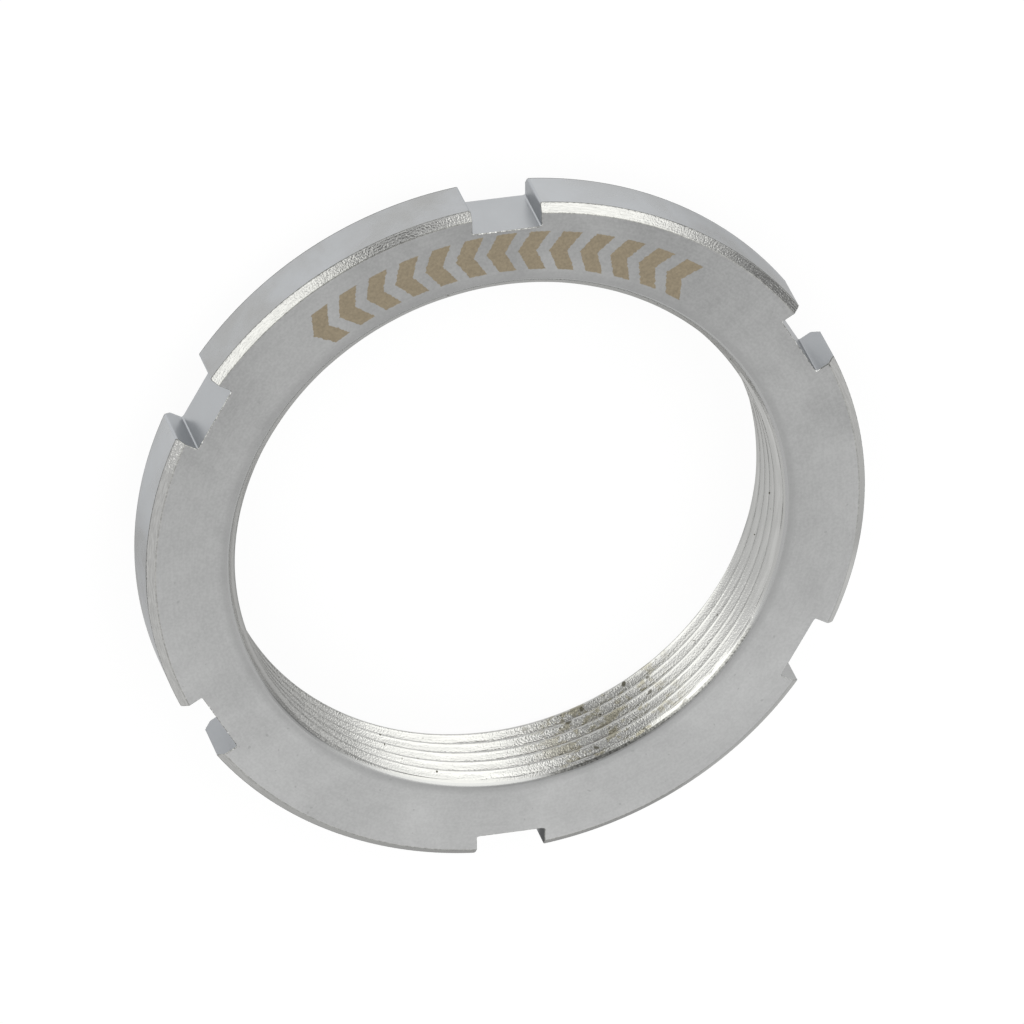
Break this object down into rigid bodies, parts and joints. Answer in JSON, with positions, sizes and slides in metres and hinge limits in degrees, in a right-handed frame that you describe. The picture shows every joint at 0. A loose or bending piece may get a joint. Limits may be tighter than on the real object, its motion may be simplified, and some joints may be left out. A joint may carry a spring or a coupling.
{
  "type": "lock ring",
  "caption": "Thin round ring nut with a fine left-hand internal thread, spanner notches cut round its chamfered rim and a low seating boss on its back.",
  "frame": {"origin": "on the ring's axis, in the back face of the boss, on which the ring lies", "axes": "+Z along the ring's axis towards its front face; +X through the middle of one spanner notch"},
  "size_m": [0.0418, 0.042, 0.0058],
  "materials": {
    "plated_steel": "bright plated steel: satin face, smooth rim and notches, fine turning lines in the chamfer"
  },
  "bodies": {
    "root": {"lock_ring": "plated_steel"}
  },
  "joints": []
}
